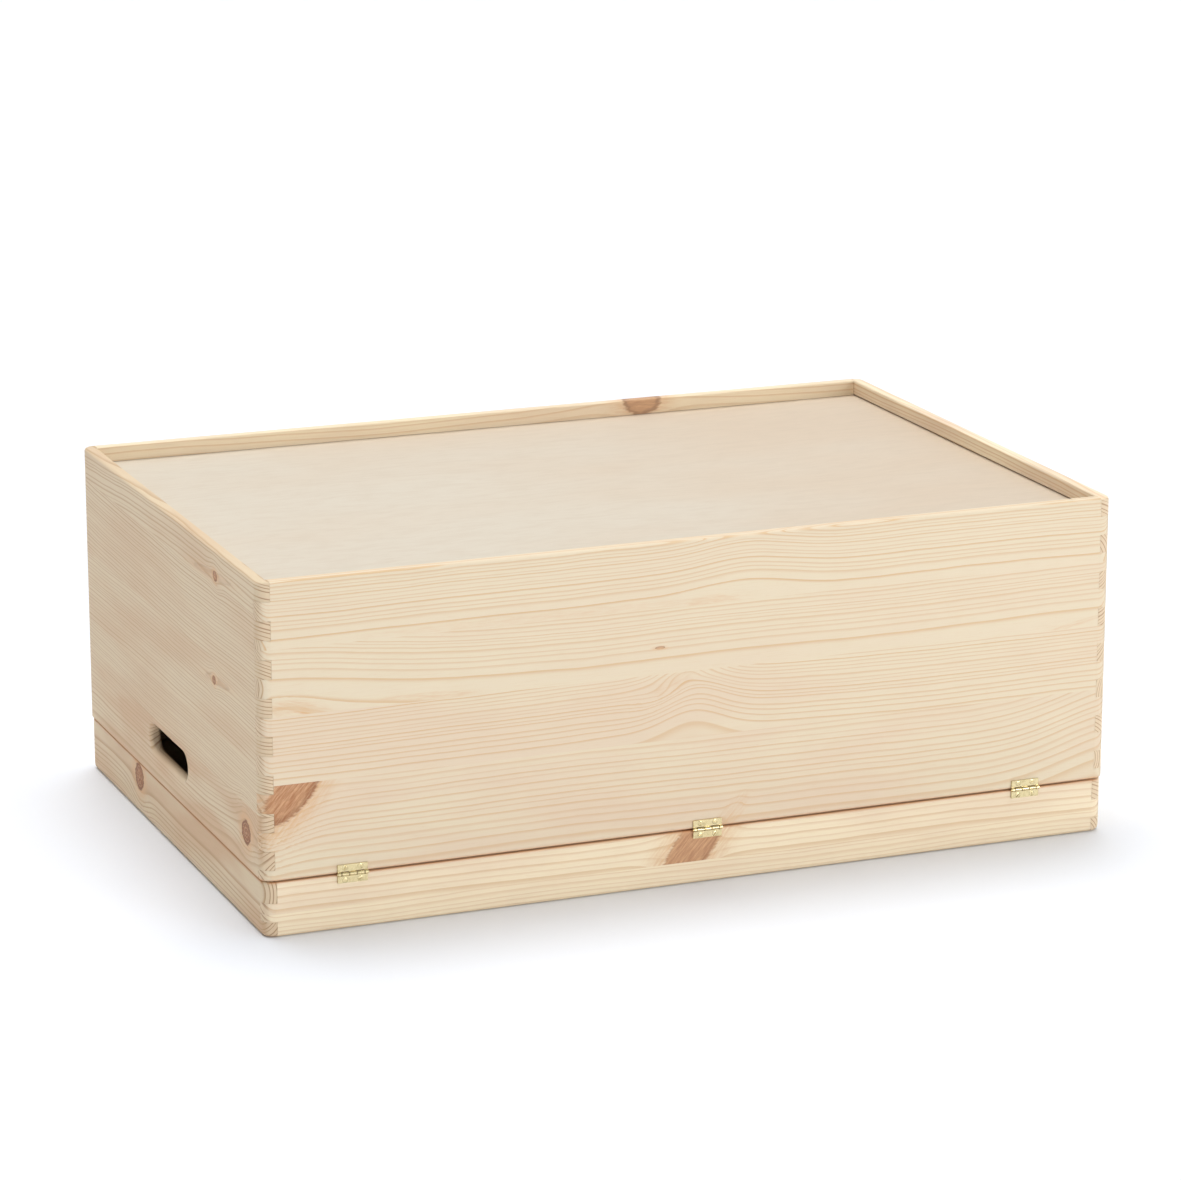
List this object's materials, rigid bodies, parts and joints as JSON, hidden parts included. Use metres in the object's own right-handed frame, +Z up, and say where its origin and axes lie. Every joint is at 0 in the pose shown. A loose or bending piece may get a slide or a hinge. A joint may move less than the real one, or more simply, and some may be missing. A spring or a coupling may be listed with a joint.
{
  "type": "wooden storage crate",
  "caption": "Rectangular finger-jointed pine crate with a shallow hinged lid, plywood panels and an oval hand hole in each short wall, standing upside down on its closed lid.",
  "frame": {"origin": "middle of the surface that the closed lid rests on, under the middle of the crate's footprint", "axes": "+Z up from the lid to the crate's bottom, as in the picture; +X along the long side; -Y out of the hinge side"},
  "size_m": [0.6, 0.4027, 0.234],
  "materials": {
    "pine": "sanded, unfinished",
    "plywood": "sanded, unfinished",
    "brass": "satin"
  },
  "bodies": {
    "lid": {"lid_back_rail": "pine", "lid_front_rail": "pine", "lid_left_rail": "pine", "lid_right_rail": "pine", "lid_panel": "plywood", "hinge_1_lid_leaf": "brass", "hinge_1_pin": "brass", "hinge_1_lid_screw_left": "brass", "hinge_1_lid_screw_right": "brass", "hinge_2_lid_leaf": "brass", "hinge_2_pin": "brass", "hinge_2_lid_screw_left": "brass", "hinge_2_lid_screw_right": "brass", "hinge_3_lid_leaf": "brass", "hinge_3_pin": "brass", "hinge_3_lid_screw_left": "brass", "hinge_3_lid_screw_right": "brass"},
    "crate": {"crate_back_wall": "pine", "crate_front_wall": "pine", "crate_left_wall": "pine", "crate_right_wall": "pine", "crate_bottom_panel": "plywood", "hinge_1_crate_leaf": "brass", "hinge_1_crate_screw_left": "brass", "hinge_1_crate_screw_right": "brass", "hinge_2_crate_leaf": "brass", "hinge_2_crate_screw_left": "brass", "hinge_2_crate_screw_right": "brass", "hinge_3_crate_leaf": "brass", "hinge_3_crate_screw_left": "brass", "hinge_3_crate_screw_right": "brass"}
  },
  "joints": [
    {"name": "lid_hinge", "type": "hinge", "parent": "lid", "child": "crate", "pos_m": [0, -0.2014, 0.0375], "axis": [1, 0, 0], "range_deg": [0, 101]}
  ]
}
